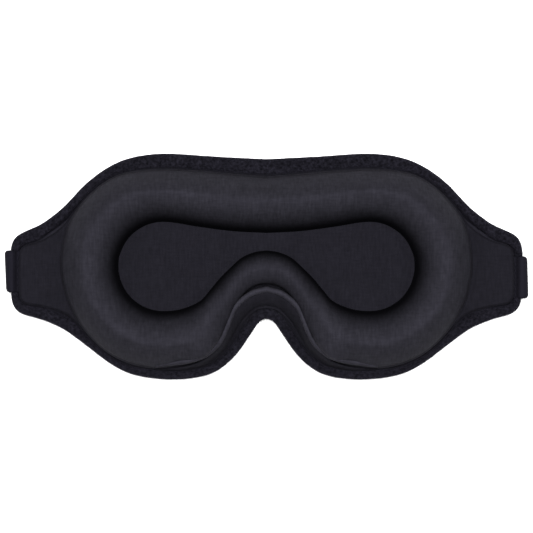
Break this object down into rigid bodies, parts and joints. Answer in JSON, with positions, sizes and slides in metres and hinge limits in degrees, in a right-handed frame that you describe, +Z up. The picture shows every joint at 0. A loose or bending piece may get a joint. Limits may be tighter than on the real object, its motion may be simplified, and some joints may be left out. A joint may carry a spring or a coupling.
{
  "type": "sleep eye mask",
  "caption": "Contoured sleep mask with raised padded eye rings, a nose flap and an elastic hook-and-loop strap tucked underneath.",
  "frame": {"origin": "on the surface the mask lies on, under the middle of its outline", "axes": "+X to the right ear end seen on the face side, +Y to the forehead edge, +Z up out of the face side"},
  "size_m": [0.236, 0.1018, 0.0239],
  "materials": {
    "cover": "fine knitted face fabric, matte",
    "foam": "open-cell foam, dark grey",
    "liner": "matte knitted liner",
    "binding": "brushed knitted binding tape",
    "skin": "smooth stretch knit with a soft sheen",
    "flap": "smooth stretch knit over thin foam",
    "strap": "ribbed elastic webbing",
    "thread": "sewing thread",
    "loop": "brushed loop pile",
    "hook": "moulded nylon hooks"
  },
  "bodies": {
    "left_half": {"left_outer_cover": "cover", "left_outer_foam": "foam", "left_base_liner": "liner", "left_edge_binding": "binding", "left_cushion_foam": "foam", "left_cushion_cover": "skin", "left_strap_root": "strap", "left_bar_tack": "thread", "left_strap_fold": "strap", "upper_bridge_foam": "foam", "upper_bridge_cover": "skin", "nose_arch_foam": "foam", "nose_arch_cover": "skin", "nose_flap": "flap"},
    "right_half": {"right_outer_cover": "cover", "right_outer_foam": "foam", "right_base_liner": "liner", "right_edge_binding": "binding", "right_cushion_foam": "foam", "right_cushion_cover": "skin", "right_strap_root": "strap", "right_bar_tack": "thread", "right_strap_fold": "strap"},
    "left_strap_tab": {"left_strap_tab": "strap"},
    "left_strap": {"left_strap_band": "strap"},
    "left_strap_end": {"left_strap_end": "strap", "left_loop_patch": "loop"},
    "right_strap_tab": {"right_strap_tab": "strap"},
    "right_strap": {"right_strap_band": "strap"},
    "right_strap_end": {"right_strap_end": "strap", "right_hook_patch": "hook"}
  },
  "joints": [
    {"name": "bridge_fold", "type": "hinge", "parent": "left_half", "child": "right_half", "pos_m": [0, 0, 0.01], "axis": [0, -1, 0], "range_deg": [0, 90], "deforming": ["upper_bridge_foam", "upper_bridge_cover", "nose_arch_foam", "nose_arch_cover", "nose_flap"]},
    {"name": "left_strap_swing", "type": "hinge", "parent": "left_half", "child": "left_strap_tab", "pos_m": [-0.1146, -0.0022, 0.0034], "axis": [0, 1, 0], "range_deg": [0, 178], "deforming": ["left_strap_fold"]},
    {"name": "right_strap_swing", "type": "hinge", "parent": "right_half", "child": "right_strap_tab", "pos_m": [0.11535, -0.0049, 0.00415], "axis": [0, -1, 0], "range_deg": [0, 178], "deforming": ["right_strap_fold"]},
    {"name": "left_strap_lift", "type": "hinge", "parent": "left_strap_tab", "child": "left_strap", "pos_m": [-0.10265, -0.00105, 0], "axis": [-0.0958, 0.9954, 0], "range_deg": [0, 80]},
    {"name": "right_strap_lift", "type": "hinge", "parent": "right_strap_tab", "child": "right_strap", "pos_m": [0.10337, -0.00563, 0.0015], "axis": [0.061, -0.9981, 0], "range_deg": [0, 80]},
    {"name": "left_strap_bend", "type": "hinge", "parent": "left_strap", "child": "left_strap_end", "pos_m": [-0.01008, 0.00786, 0], "axis": [-0.0958, 0.9954, 0], "range_deg": [0, 100]},
    {"name": "right_strap_bend", "type": "hinge", "parent": "right_strap", "child": "right_strap_end", "pos_m": [0.04548, -0.00917, 0.0015], "axis": [0.061, -0.9981, 0], "range_deg": [0, 100]}
  ]
}
